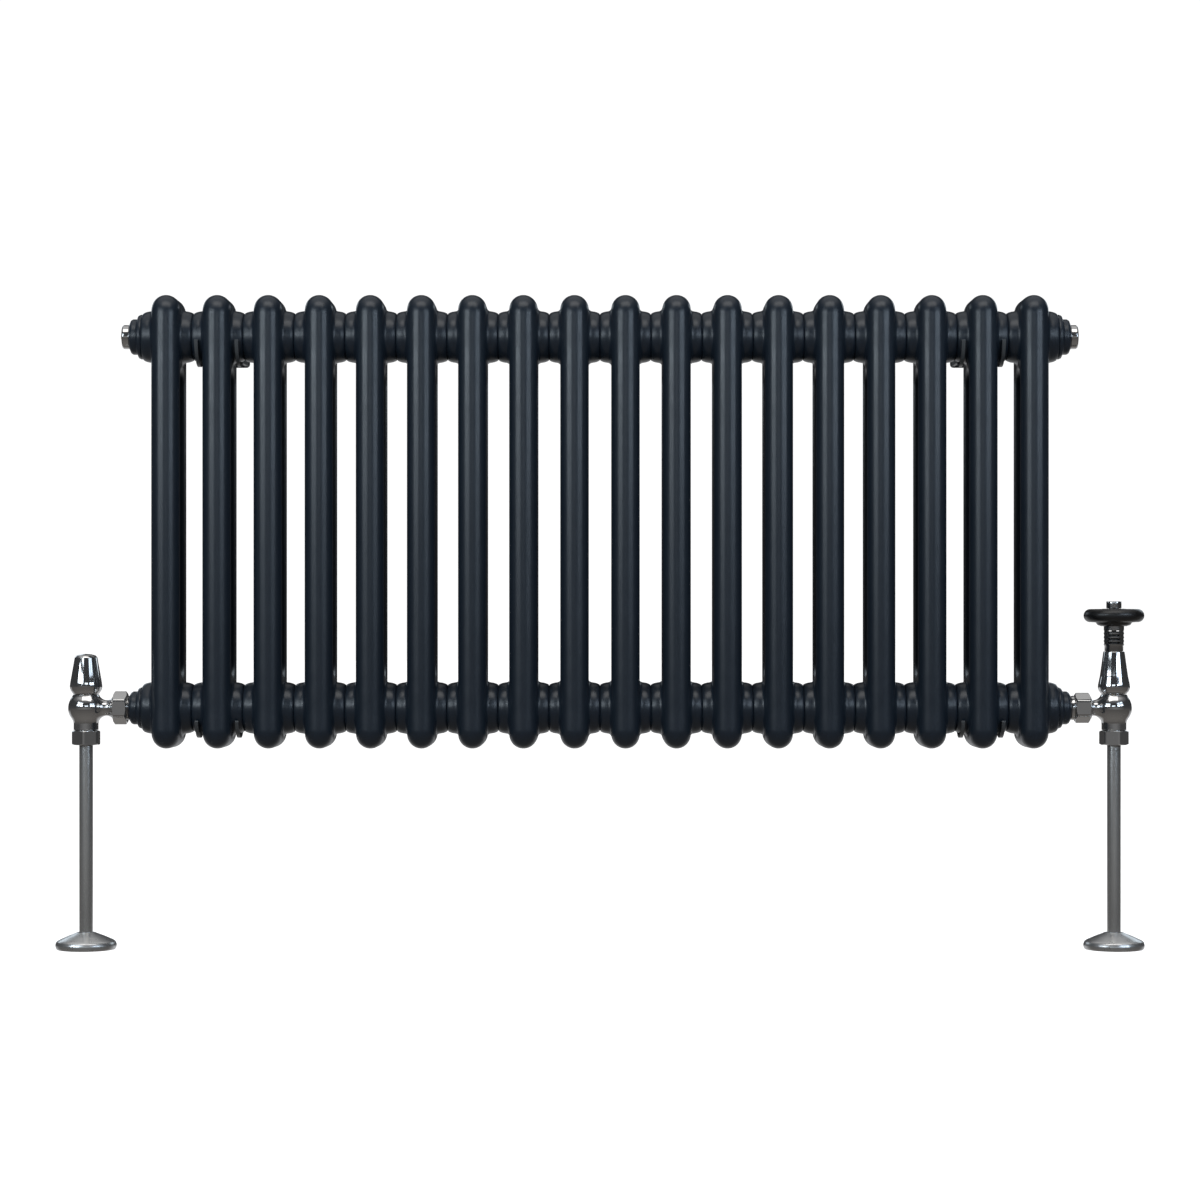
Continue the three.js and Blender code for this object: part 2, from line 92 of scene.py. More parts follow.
class Nodes:
    """Builds one material's node tree around its Principled shader."""

    def __init__(self, name, **sockets):
        self.material = bpy.data.materials.new(name)
        self.material.use_nodes = True
        self.tree = self.material.node_tree
        self.shader = self.tree.nodes["Principled BSDF"]
        for key, value in sockets.items():
            self.shader.inputs[key.replace("_", " ")].default_value = value
        self.place = self.tree.nodes.new("ShaderNodeTexCoord").outputs["Object"]

    def join(self, output, target):
        self.tree.links.new(output, target)

    def noise(self, scale, detail=2.0, stretch=None, roughness=0.5):
        node = self.tree.nodes.new("ShaderNodeTexNoise")
        node.inputs["Scale"].default_value = scale
        node.inputs["Detail"].default_value = detail
        node.inputs["Roughness"].default_value = roughness
        place = self.place
        if stretch:
            mapping = self.tree.nodes.new("ShaderNodeMapping")
            mapping.inputs["Scale"].default_value = stretch
            self.join(place, mapping.inputs["Vector"])
            place = mapping.outputs["Vector"]
        self.join(place, node.inputs["Vector"])
        return node.outputs["Fac"]

    def ramp(self, factor, *stops):
        return colour_ramp(self.tree, factor, stops)

    def bump(self, *layers):
        """Each layer is (height, depth in metres, strength)."""
        normal = None
        for height, depth, strength in layers:
            node = self.tree.nodes.new("ShaderNodeBump")
            node.inputs["Distance"].default_value = depth
            node.inputs["Strength"].default_value = strength
            self.join(height, node.inputs["Height"])
            if normal:
                self.join(normal, node.inputs["Normal"])
            normal = node.outputs["Normal"]
        self.join(normal, self.shader.inputs["Normal"])

    def colour(self, output):
        self.join(output, self.shader.inputs["Base Color"])

    def roughness(self, output):
        self.join(output, self.shader.inputs["Roughness"])


def satin_paint(name, dark, light, rough):
    """Powder coat: a fine grain over faint large patches, and a shallow orange peel."""
    n = Nodes(name, Metallic=0.0, Coat_Weight=0.12, Coat_Roughness=0.3)
    patches = n.ramp(n.noise(14, 3), (0.3, dark), (0.7, light))
    grain = n.ramp(n.noise(1500, 2), (0.3, 0.78), (0.7, 1.0))
    n.colour(blended(n.tree, "MULTIPLY", patches, grain))
    n.roughness(n.ramp(n.noise(60, 4), (0.3, rough), (0.7, rough + 0.08)))
    n.bump((n.noise(1400, 2), 0.00003, 0.5), (n.noise(300, 2), 0.00008, 0.25))
    return n.material


def plated(name, tint, rough, smear, metallic, wave, grain=0.15):
    """Chrome: faint waviness from polishing, and soft smears that dull it."""
    n = Nodes(name, Metallic=metallic)
    n.colour(n.ramp(n.noise(40, 3), (0.3, tuple(c * 0.93 for c in tint)), (0.7, tint)))
    n.roughness(n.ramp(n.noise(150, 5), (0.35, rough), (0.75, rough + smear)))
    n.bump((n.noise(90, 2), 0.00003, wave), (n.noise(2500, 2), 0.000004, grain))
    return n.material


def turned_metal(name, dark, light, rough):
    """Machined metal with fine tool rings."""
    n = Nodes(name, Metallic=1.0)
    rings = n.noise(900, 3, stretch=(0.05, 0.05, 3.0))
    n.colour(n.ramp(n.noise(120, 4), (0.3, dark), (0.7, light)))
    n.roughness(n.ramp(rings, (0.3, rough), (0.7, rough + 0.15)))
    n.bump((rings, 0.00003, 0.4))
    return n.material


def lacquered_wood(name):
    """Black stained and lacquered wood, its grain running across the wheel."""
    n = Nodes(name, Coat_Weight=0.35, Coat_Roughness=0.22)
    grain = n.noise(260, 5, stretch=(0.12, 1.0, 1.6), roughness=0.6)
    n.colour(n.ramp(grain, (0.3, (0.0045, 0.0042, 0.0044)), (0.7, (0.013, 0.012, 0.0125))))
    n.roughness(n.ramp(grain, (0.3, 0.38), (0.75, 0.5)))
    n.bump((grain, 0.00008, 0.25))
    return n.material


def moulded_plastic(name):
    n = Nodes(name)
    n.colour(n.ramp(n.noise(80, 3), (0.3, (0.018, 0.018, 0.019)), (0.7, (0.032, 0.032, 0.033))))
    n.roughness(n.ramp(n.noise(500, 3), (0.3, 0.45), (0.7, 0.6)))
    n.bump((n.noise(1800, 2), 0.00002, 0.4))
    return n.material


PAINT = satin_paint("anthracite_paint", (0.0155, 0.0245, 0.0375), (0.0185, 0.0285, 0.0430), 0.275)
BRACKET = satin_paint("bracket_paint", (0.085, 0.092, 0.098), (0.11, 0.118, 0.125), 0.34)
CHROME = plated("chrome", (0.68, 0.675, 0.67), 0.05, 0.06, 0.94, 0.07)
# A darker copy of the chrome, painted shade: it darkens the slotted neck and the castle nut beyond what the
# lights give.
DARK_CHROME = plated("chrome_shaded", (0.46, 0.455, 0.45), 0.12, 0.06, 0.96, 0.10)
PIPE_CHROME = plated("chrome_pipe", (0.66, 0.65, 0.635), 0.2, 0.02, 0.78, 0.0, 0.02)
PLATE_CHROME = plated("chrome_plate", (0.74, 0.74, 0.735), 0.27, 0.05, 0.85, 0.02)
BRASS = turned_metal("brass", (0.62, 0.42, 0.16), (0.74, 0.52, 0.22), 0.24)
STEEL = turned_metal("steel", (0.42, 0.42, 0.42), (0.55, 0.55, 0.55), 0.28)
WOOD = lacquered_wood("black_wood")
PLASTIC = moulded_plastic("sensor_plastic")

# ---- Mesh helpers ----


SHARP = math.radians(40)


def filleted(points, closed=False):
    """A profile with its corners rounded: each point is (radius, height) or (radius, height, fillet)."""
    out = []
    count = len(points)
    for i, point in enumerate(points):
        here = np.array(point[:2], float)
        fillet = point[2] if len(point) > 2 else 0
        inner = closed or 0 < i < count - 1
        if not fillet or not inner:
            out.append(tuple(here))
            continue
        back = np.array(points[i - 1][:2], float) - here
        ahead = np.array(points[(i + 1) % count][:2], float) - here
        room = min(np.linalg.norm(back), np.linalg.norm(ahead)) * 0.49
        back, ahead = back / np.linalg.norm(back), ahead / np.linalg.norm(ahead)
        half = math.acos(np.clip(back @ ahead, -1, 1)) / 2
        reach = min(fillet / math.tan(half), room)
        radius = reach * math.tan(half)
        bisector = (back + ahead) / np.linalg.norm(back + ahead)
        centre = here + bisector * radius / math.sin(half)
        start, end = here + back * reach - centre, here + ahead * reach - centre
        turn = math.acos(np.clip(start @ end / radius**2, -1, 1))
        steps = max(2, math.ceil(turn / math.radians(18)))
        for k in range(steps + 1):
            w = k / steps
            ray = (math.sin((1 - w) * turn) * start + math.sin(w * turn) * end) / math.sin(turn)
            out.append(tuple(centre + ray))
    return out


def once_round(sides):
    """Equal angles once round."""
    return np.linspace(0, 2 * math.pi, sides, endpoint=False)


def axis_point(height):
    """A ring of one point on the axis."""
    return np.array([[0, 0, height]], float)


def ring(radius, height, angles):
    radius = np.broadcast_to(radius, angles.shape)
    height = np.broadcast_to(height, angles.shape)
    return np.stack([radius * np.cos(angles), radius * np.sin(angles), height], 1)


def skin(rows, closed=False):
    """Vertices and faces of rings joined in turn. A ring of one point closes an end, and a closed
    skin also joins its last ring to its first."""
    starts = np.cumsum([0] + [len(r) for r in rows])
    faces = []
    pairs = list(zip(range(len(rows) - 1), range(1, len(rows))))
    if closed:
        pairs.append((len(rows) - 1, 0))
    for a, b in pairs:
        na, nb = len(rows[a]), len(rows[b])
        count = max(na, nb)
        for i in range(count):
            j = (i + 1) % count
            first = [starts[a] + (i if na > 1 else 0), starts[a] + (j if na > 1 else 0)]
            second = [starts[b] + (j if nb > 1 else 0), starts[b] + (i if nb > 1 else 0)]
            faces.append(list(dict.fromkeys(first + second)))
    return np.concatenate(rows), faces


def turned(points, sides=96):
    """A turned piece about +Z. A profile that doesn't start and end on the axis is a closed ring."""
    closed = points[0][0] > 0
    angles = once_round(sides)
    rows = []
    for radius, height in filleted(points, closed):
        rows.append(ring(radius, height, angles) if radius > 0 else axis_point(height))
    return skin(rows, closed)


def along_x(shape):
    """What was made about +Z, about +X."""
    points, faces = shape
    return np.stack([points[:, 2], points[:, 1], -points[:, 0]], 1), faces


def spun(shape, degrees):
    """Turned about +Z by an angle."""
    points, faces = shape
    a = math.radians(degrees)
    x = points[:, 0] * math.cos(a) - points[:, 1] * math.sin(a)
    y = points[:, 0] * math.sin(a) + points[:, 1] * math.cos(a)
    return np.stack([x, y, points[:, 2]], 1), faces


def volume(points, faces):
    total = 0.0
    for face in faces:
        a = points[face[0]]
        for b, c in zip(face[1:-1], face[2:]):
            total += np.dot(a, np.cross(points[b], points[c]))
    return total


def mesh_of(name, shape, normals=None):
    points, faces = shape
    if volume(points, faces) < 0:
        faces = [face[::-1] for face in faces]
    mesh = bpy.data.meshes.new(name)
    mesh.from_pydata((points * MM).tolist(), [], [[int(i) for i in face] for face in faces])
    mesh.update()
    mesh.shade_smooth()
    if normals is None:
        mesh.set_sharp_from_angle(angle=SHARP)
    else:
        mesh.normals_split_custom_set_from_vertices(normals.tolist())
    return mesh


def piece(name, mesh, material, replaced, body=BODY, at=(0, 0, 0), half_turn=False):
    if not mesh.materials:
        mesh.materials.append(material)
    obj = bpy.data.objects.new(name, mesh)
    bpy.context.scene.collection.objects.link(obj)
    obj.location = at
    obj.rotation_euler.z = math.pi if half_turn else 0
    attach(obj, body)
    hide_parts(*replaced)
    return obj


# ---- Surfaces from a distance field ----


def smooth_min(a, b, k):
    h = np.clip(0.5 + 0.5 * (b - a) / k, 0, 1)
    return b * (1 - h) + a * h - k * h * (1 - h)


def smooth_max(a, b, k):
    return -smooth_min(-a, -b, k)


def gradient(field, p, step=0.01):
    out = np.empty_like(p)
    for axis in range(3):
        d = np.zeros(3)
        d[axis] = step
        out[:, axis] = (field(*(p + d).T) - field(*(p - d).T)) / (2 * step)
    return out


NET_PASSES = 6  # of moving the vertices onto the surface


def surface_net(field, xs, ys, zs):
    """The field's zero surface as quads: one vertex for each grid cell it crosses, moved onto it."""
    axes = (xs, ys, zs)
    value = field(*np.meshgrid(*axes, indexing="ij"))
    inside = value < 0
    cells = tuple(len(a) - 1 for a in axes)
    total, count = np.zeros((*cells, 3)), np.zeros(cells)
    crossings = []
    for axis in range(3):
        low = np.take(inside, range(cells[axis]), axis)
        high = np.take(inside, range(1, cells[axis] + 1), axis)
        where = np.argwhere(low != high)
        other = where.copy()
        other[:, axis] += 1
        f0, f1 = value[tuple(where.T)], value[tuple(other.T)]
        p0 = np.stack([axes[k][where[:, k]] for k in range(3)], 1)
        p1 = np.stack([axes[k][other[:, k]] for k in range(3)], 1)
        hit = p0 + (p1 - p0) * (f0 / (f0 - f1))[:, None]
        u, v = (axis + 1) % 3, (axis + 2) % 3
        around = []
        for du, dv in ((1, 1), (0, 1), (0, 0), (1, 0)):
            cell = where.copy()
            cell[:, u] -= du
            cell[:, v] -= dv
            np.add.at(total, tuple(cell.T), hit)
            np.add.at(count, tuple(cell.T), 1)
            around.append(cell)
        crossings.append((around, low[tuple(where.T)]))
    used = count > 0
    number = np.full(cells, -1)
    number[used] = np.arange(used.sum())
    points = total[used] / count[used][:, None]
    faces = []
    for around, starts_inside in crossings:
        corners = np.stack([number[tuple(cell.T)] for cell in around], 1)
        corners[~starts_inside] = corners[~starts_inside][:, ::-1]
        faces.extend(corners.tolist())
    for _ in range(NET_PASSES):
        slope = gradient(field, points)
        square = np.maximum((slope**2).sum(1), 0.05)
        points = points - slope * np.clip(field(*points.T) / square, -0.6, 0.6)[:, None]
    slope = gradient(field, points, 0.05)
    normals = slope / np.maximum(np.linalg.norm(slope, axis=1), 1e-6)[:, None]
    return (points, faces), normals


def spaced(*stretches):
    """Grid positions: (from, to, step) stretches, each in equal steps near the one asked for."""
    out = [stretches[0][0]]
    for start, end, step in stretches:
        out.extend(np.linspace(start, end, max(1, round((end - start) / step)) + 1)[1:])
    return np.array(out)


def mirrored(half):
    return np.concatenate([-half[::-1], half[1:] if half[0] == 0 else half])


# ---- Sections ----

TUBE_R = 12.5
HEIGHT, HALF_DEPTH = 400.0, 33.0
HUB_UP = (LOW_HUB - FOOT_Z) / MM
ARCH_UP = 77.5  # centre of the arch at each end of the opening between the tubes
PLATE_CORNER = 4.5
HUB_R, WELD_R, HUB_END = 22.9, 19.3, 22.5
BULGE_FROM, BULGE_LENGTH = 13.0, 9.9  # along X, where the hub's radius falls to the weld's


def section_field(x, y, z):
    """Two tubes joined at both ends by a head with hubs, which meet the next section's in a welded groove."""
    up = np.abs(z - HEIGHT / 2)
    reach = HALF_DEPTH - TUBE_R
    qy = np.abs(y) - (reach - PLATE_CORNER)
    qz = up - (HEIGHT / 2 - TUBE_R - PLATE_CORNER)
    plate = np.hypot(np.maximum(qy, 0), np.maximum(qz, 0)) + np.minimum(np.maximum(qy, qz), 0) - PLATE_CORNER
    beyond = np.maximum(up - (HEIGHT / 2 - ARCH_UP), 0)
    opening = reach - np.hypot(y, beyond)
    outside = np.maximum(np.maximum(plate, opening), 0)
    shell = np.hypot(outside, x) - TUBE_R
    ax = np.abs(x)
    bulge = np.clip((ax - BULGE_FROM) / BULGE_LENGTH, 0, 0.999)
    radius = WELD_R + (HUB_R - WELD_R) * np.sqrt(1 - bulge**2)
    hub = np.hypot(y, up - (HEIGHT / 2 - HUB_UP)) - radius
    hub = np.maximum(hub * 0.9, ax - HUB_END)
    return smooth_min(shell, hub, 3.2)


def section_mesh():
    half_x = spaced((0, 14, 2.0), (14, 20, 1.5), (20, 22, 0.8), (22, 23.2, 0.6))
    half_y = spaced((0, 34.4, 1.9))
    head = spaced((-1.6, 88, 2.0), (88, 96, 4.0))
    zs = np.concatenate([head, spaced((96, HEIGHT - 96, 12.0))[1:-1], HEIGHT - head[::-1]])
    shape, normals = surface_net(section_field, mirrored(half_x), mirrored(half_y), zs)
    return mesh_of("section", shape, normals)


section = section_mesh()
for node in SECTIONS:
    piece(
        node.replace("section", "column"), section, PAINT, [node],
        at=(middle(node).x, AXIS_Y, FOOT_Z),
    )

# ---- End bushes, and the plugs at the top, along +X from the middle of the end section ----


def bush_profile(flange, step):
    """A rounded flange against the section, a smaller step and the rim of the bore."""
    return [
        (9.6, 22.3), (flange, 22.3, 1.0), (flange + 0.5, 24.0, 1.2), (flange - 0.4, 26.2, 1.0),
        (step + 0.4, 27.4, 0.6), (step + 0.4, 31.2, 1.2), (step - 0.6, 33.0, 1.0),
        (11.2, 34.4, 0.5), (9.6, 34.5, 0.2),
    ]


PLUG_END = 40.8
PLUG_PROFILE = [(10.6, 34.6, 0.3), (10.6, 39.6, 0.8), (9.6, PLUG_END, 0.5)]
SLOT_DEPTH, SLOT_HALF_WIDTH, SLOT_SLOPE = 1.5, 1.0, 0.3
BUSHES = {
    "bush_top_left": (19.4, 15.3), "bush_top_right": (19.4, 15.3),
    "bush_bottom_left": (17.9, 14.3), "bush_bottom_right": (17.9, 14.3),
}
for node, (flange, step) in BUSHES.items():
    left = node.endswith("left")
    at = (FIRST_X if left else LAST_X, AXIS_Y, HIGH_HUB if "top" in node else LOW_HUB)
    shape = along_x(turned(bush_profile(flange, step)))
    piece("end_" + node, mesh_of(node, shape), PAINT, [node], at=at, half_turn=left)


def plug_with_slot():
    """A plug whose end sinks along a line across it. The end has enough rings for the slot to follow."""
    end = [(radius, PLUG_END) for radius in np.linspace(8.6, 0.5, 18)]
    profile = [(0, 20), (9.1, 20, 0.3), (9.1, 34.6), *PLUG_PROFILE, *end, (0, PLUG_END)]
    points, faces = turned(profile, 120)
    near = np.clip((SLOT_HALF_WIDTH - np.abs(points[:, 1])) / SLOT_SLOPE, 0, 1)
    points[:, 2] -= SLOT_DEPTH * near * (points[:, 2] > PLUG_END - 0.6)
    return points, faces


def vent_plug():
    """A plug with a sunk seat round the bleed screw."""
    collar = [(5.6, PLUG_END, 0.3), (5.4, 40.2, 0.3), (3.6, 40.2, 0.2), (3.5, PLUG_END)]
    return turned([(3.4, 20), (9.1, 20, 0.3), (9.1, 34.6), *PLUG_PROFILE, *collar])


def squared(angles, half_width, corner):
    """The radius at each angle of a square whose corners are cut round."""
    square = half_width / np.maximum(np.abs(np.cos(angles)), np.abs(np.sin(angles)))
    return np.minimum(square, corner)


def vent_screw():
    """A round stem with a square end that has a dimple."""
    angles = once_round(96)
    square = squared(angles, 2.1, 2.72)
    stem = [(3.0, 24.0), (3.0, 38.6), (square, 38.9), (square, 41.8), (square - 0.2, 42.1)]
    dimple = [(square - 0.5, 42.2), (0.9, 42.2), (0.6, 41.7)]
    return skin([axis_point(24.0), *[ring(r, z, angles) for r, z in stem + dimple], axis_point(41.6)])


top_left, top_right = (FIRST_X, AXIS_Y, HIGH_HUB), (LAST_X, AXIS_Y, HIGH_HUB)
mesh = mesh_of("vent_plug", along_x(vent_plug()))
piece("air_vent_plug", mesh, CHROME, ["vent_plug"], at=top_left, half_turn=True)
mesh = mesh_of("vent_screw", along_x(vent_screw()))
piece("bleed_screw", mesh, BRASS, ["vent_screw"], "vent_screw", top_left, True)
mesh = mesh_of("blanking_plug", along_x(plug_with_slot()))
piece("blind_plug", mesh, CHROME, ["blanking_plug"], at=top_right)

# ---- Wall brackets ----

HOOK_OFFSET, HOOK_THICK = 17.75, 3.0
HOOK_INNER, HOOK_OUTER, HOOK_BACK = 23.9, 26.5, 24.6
PLATE_HALF, PLATE_THICK, PLATE_LOW, PLATE_HIGH, SCREW_HOLE = 20.0, 3.0, -22.0, 14.0, 3.5
PLATE_CORNER_R, EDGE_STEP = 3.0, 4.0
HOOK_HEEL, HOOK_BELLY = 350, 305  # where the cradle meets the arm, inside and outside, in degrees
WALL = (WALL_Y - AXIS_Y) / MM
BEVEL_WIDTH, BEVEL_FROM = 0.35, math.radians(35)


def arc(radius, start, end, step=6):
    count = max(2, math.ceil(abs(end - start) / step))
    angles = np.radians(np.linspace(start, end, count + 1))
    return [(radius * math.cos(a), radius * math.sin(a)) for a in angles]


def extruded(bm, outline, low, high):
    """An outline of (y, z) as a solid between two places along X."""
    bottom = [bm.verts.new((low, u, v)) for u, v in outline]
    top = [bm.verts.new((high, u, v)) for u, v in outline]
    bm.faces.new(bottom[::-1])
    bm.faces.new(top)
    count = len(outline)
    for i in range(count):
        bm.faces.new((bottom[i], bottom[(i + 1) % count], top[(i + 1) % count], top[i]))


def plate_outline():
    """The wall plate's rounded rectangle, with points along its edges too."""
    across, up = PLATE_HALF - PLATE_CORNER_R, (PLATE_HIGH - PLATE_LOW) / 2 - PLATE_CORNER_R
    points = []
    for i, (u, v) in enumerate(((across, up), (-across, up), (-across, -up), (across, -up))):
        for x, y in arc(PLATE_CORNER_R, 90 * i, 90 * i + 90, 22.5):
            points.append((u + x, v + y + (PLATE_HIGH + PLATE_LOW) / 2))
    filled = []
    for start, end in zip(points, points[1:] + points[:1]):
        start, end = np.array(start), np.array(end)
        steps = max(1, round(np.linalg.norm(end - start) / EDGE_STEP))
        filled += [tuple(start + (end - start) * k / steps) for k in range(steps)]
    return filled


def hook_outline(tip):
    """Side view: a cradle round the hub with a round tip in front, and an arm to the wall."""
    tip_angle, tip_r = math.radians(tip), (HOOK_INNER + HOOK_OUTER) / 2
    nose_r = (HOOK_OUTER - HOOK_INNER) / 2
    nose = []
    for turn in np.radians(np.linspace(30, 150, 5)):
        u = tip_r * math.cos(tip_angle) + nose_r * math.cos(tip_angle + turn)
        v = tip_r * math.sin(tip_angle) + nose_r * math.sin(tip_angle + turn)
        nose.append((u, v))
    arm_end = WALL - PLATE_THICK / 2
    arm = [(HOOK_BACK, 9.0), (HOOK_BACK + 0.6, 10.0), (arm_end, 10.0), (arm_end, PLATE_LOW + 1)]
    return [*arc(HOOK_INNER, tip, HOOK_HEEL), *arm, *arc(HOOK_OUTER, HOOK_BELLY, tip), *nose]


def add_plate(bm):
    """The wall plate with its screw hole."""
    rim = plate_outline()
    hole_angles = [math.atan2(v - (PLATE_HIGH + PLATE_LOW) / 2, u) for u, v in rim]
    loops = []
    for depth in (WALL - PLATE_THICK, WALL):
        out = [bm.verts.new((u, depth, v)) for u, v in rim]
        hole_ring = [(SCREW_HOLE * math.cos(a), depth, SCREW_HOLE * math.sin(a)) for a in hole_angles]
        hole = [bm.verts.new(point) for point in hole_ring]
        loops.append((out, hole))
    (out0, hole0), (out1, hole1) = loops
    for i in range(len(rim)):
        j = (i + 1) % len(rim)
        bm.faces.new((out0[i], out0[j], hole0[j], hole0[i]))
        bm.faces.new((out1[j], out1[i], hole1[i], hole1[j]))
        bm.faces.new((out0[j], out0[i], out1[i], out1[j]))
        bm.faces.new((hole0[i], hole0[j], hole1[j], hole1[i]))


def bracket_mesh(name, tip):
    bm = bmesh.new()
    outline = hook_outline(tip)
    for side in (-1, 1):
        middle_x = side * HOOK_OFFSET
        extruded(bm, outline, middle_x - HOOK_THICK / 2, middle_x + HOOK_THICK / 2)
    add_plate(bm)
    bmesh.ops.recalc_face_normals(bm, faces=bm.faces)
    bmesh.ops.scale(bm, vec=(MM, MM, MM), verts=bm.verts)
    mesh = bpy.data.meshes.new(name)
    bm.to_mesh(mesh)
    bm.free()
    return mesh


def bevelled(obj):
    bevel = obj.modifiers.new("bevel", "BEVEL")
    bevel.width = BEVEL_WIDTH * MM
    bevel.segments = 2
    bevel.limit_method = "ANGLE"
    bevel.angle_limit = BEVEL_FROM
    bevel.harden_normals = True
    obj.data.shade_smooth()
    obj.data.set_sharp_from_angle(angle=BEVEL_FROM)


# A hook's tip is at an angle round its hub, where 180 degrees is the front and 270 the underside.
for level, z, tip in (("upper", HIGH_HUB, 190), ("lower", LOW_HUB, 206)):
    for side in ("left", "right"):
        node = f"{level}_bracket_{side}"
        mesh = bracket_mesh(node, tip)
        name, at = f"wall_bracket_{level}_{side}", (middle(node).x, AXIS_Y, z)
        bevelled(piece(name, mesh, BRACKET, [node], at=at))

# ---- Parts that both angle valves have. +X points to the radiator, +Z is up. ----

BALL, NECK_END, COLLAR_TOP, PIPE_SPIGOT_END = 15.7, -19.8, 12.1, -27
WAIST_FROM, WAIST_R, FLARE = 18.0, 6.9, 3.6  # of the side outlet
WELL_R, SEAT, SOCKET_R, SOCKET_END, WATER_R = 7.5, -4.5, 6.35, -14.0, 4.5
UNION_BORE = 9.6


def capped(distance, low, high, along):
    """A length cut from an endless turned shape."""
    return np.maximum(distance, np.maximum(low - along, along - high))


def valve_field(nut_from):
    def field(x, y, z):
        across = np.hypot(x, y)
        ball = np.sqrt(x**2 + y**2 + z**2) - BALL
        neck = capped(across - 10.9, NECK_END, 0, z)
        collar = smooth_max(across - 11.4, np.maximum(z - COLLAR_TOP, -z), 0.8)
        body = smooth_min(smooth_min(ball, neck, 2.0), collar, 1.6)
        body = smooth_max(body, z - COLLAR_TOP, 0.5)
        body = np.minimum(body, capped(across - 9.2, PIPE_SPIGOT_END, 0, z))
        around = np.hypot(y, z)
        # a waisted spigot that flares to a shoulder where the nut starts
        flare = np.clip((x - WAIST_FROM) / (nut_from - WAIST_FROM), 0, 1)
        spool = WAIST_R + FLARE * flare**2.2
        side = capped(around - spool, 0, nut_from - 0.3, x)
        body = smooth_min(body, side, 4.2)
        body = np.minimum(body, capped(around - 10.4, nut_from - 1, nut_from + 6.2, x))
        well = capped(across - WELL_R, SEAT, 30, z)
        socket = capped(across - SOCKET_R, -40, SOCKET_END, z)
        inlet = capped(across - WATER_R, -30, 0, z)
        outlet = capped(around - WATER_R, 0, 60, x)
        hollow = np.minimum(np.minimum(well, socket), np.minimum(inlet, outlet))
        return np.maximum(body, -hollow)

    return field


def valve_body_mesh(name, nut_from):
    xs = spaced((-17.2, nut_from + 7.5, 1.15))
    ys = spaced((-17.2, 17.2, 1.15))
    zs = spaced((-28.2, 13.4, 1.15))
    shape, normals = surface_net(valve_field(nut_from), xs, ys, zs)
    return mesh_of(name, shape, normals)


CHAMFER_SLOPE = math.tan(math.radians(30))
CORNER_LOSS, EDGE_WIDTH, EDGE_SINK = 0.35, 0.35, 0.12  # what rounding takes off a nut


def hexagonal(corner, low, high, bore):
    """A hexagonal nut about +Z with chamfered ends and softened edges. Two corners are on the X axis."""
    angles = once_round(180)
    flat = corner * math.cos(math.radians(30))
    fold = (np.degrees(angles) % 60) - 30
    prism = flat / np.cos(np.radians(fold))
    prism = smooth_min(prism, np.full_like(prism, corner - CORNER_LOSS), 0.5)
    face_r = flat - 0.1
    crease = np.maximum((prism - face_r) * CHAMFER_SLOPE, 0.0) + 0.05

    def near(end, way):
        made = []
        for share in (0.0, 0.35, 0.7, 1.0):
            depth = crease * share
            radius = np.minimum(face_r + depth / CHAMFER_SLOPE, prism)
            made.append(ring(radius, end + way * (depth + EDGE_SINK), angles))
        made.append(ring(prism, end + way * (crease + EDGE_WIDTH + EDGE_SINK), angles))
        return made

    rows = [ring(bore, low, angles), ring(face_r - 0.5, low, angles)]
    rows += near(low, 1)
    rows += near(high, -1)[::-1]
    rows += [ring(face_r - 0.5, high, angles), ring(bore, high, angles)]
    return skin(rows, closed=True)


def place_valve(name, x, half_turn, nut_from, nut_to, nut_corner, pipe_turn):
    """A valve's body, union and nuts. The union nut's ends and corners, and the pipe nut's turn, vary."""
    at = (x, AXIS_Y, LOW_HUB)

    def put(piece_name, node, mesh):
        nodes = [f"{name}_{node}"]
        piece(f"{name}_{piece_name}", mesh, CHROME, nodes, at=at, half_turn=half_turn)

    put("angle_body", "valve_body", valve_body_mesh(name, nut_from))
    tail = [
        (4.5, nut_from + 6.5), (10.4, nut_from + 6.5, 0.3), (10.4, nut_from + 9, 0.3), (9.2, nut_from + 9),
        (9.2, nut_to + 0.2), (10.2, nut_to + 0.2, 0.4), (11.0, nut_to + 1.2, 0.5), (10.4, 38.6, 0.5),
        (9.2, 38.7), (9.2, 51, 0.4), (4.5, 51),
    ]
    put("union_spigot", "union_tail", mesh_of("union_tail", along_x(turned(tail))))
    union_nut = along_x(hexagonal(nut_corner, nut_from, nut_to, UNION_BORE))
    put("union_hexagon", "union_nut", mesh_of("union_nut", union_nut))
    pipe_nut = spun(hexagonal(13.4, -32.8, -20.1, SOCKET_R), pipe_turn)
    put("pipe_hexagon", "pipe_nut", mesh_of("pipe_nut", pipe_nut))


place_valve("lockshield", LEFT_X, False, nut_from=24.8, nut_to=36.9, nut_corner=15.1, pipe_turn=28)
place_valve("thermostat", RIGHT_X, True, nut_from=21.7, nut_to=34.9, nut_corner=13.8, pipe_turn=-16)

# ---- Lockshield's cap and what it covers ----

left_at = (LEFT_X, AXIS_Y, LOW_HUB)
cap = [
    (0, 33.9), (6.9, 33.9, 0.8), (9.7, 19.5, 1.5), (9.7, 12.35, 0.2), (11.3, 12.35, 0.5), (13.4, 15.4, 2.5),
    (14.3, 18.8, 2.5), (13.9, 22.5, 6.0), (10.0, 44.6, 1.2), (8.4, 46.6, 1.6), (4.5, 47.6, 3.0), (0, 47.9),
]
mesh = mesh_of("cap", turned(cap, 128))
piece("lockshield_screwed_cap", mesh, CHROME, ["lockshield_cap"], "lockshield_cap", left_at)
bonnet = [
    (3.6, 3.6), (7.1, 3.6, 0.3), (7.1, 12.3), (9.2, 12.3, 0.3), (9.2, 17, 0.5), (6.2, 17),
    (6.0, 21, 0.4), (3.6, 21, 0.2),
]


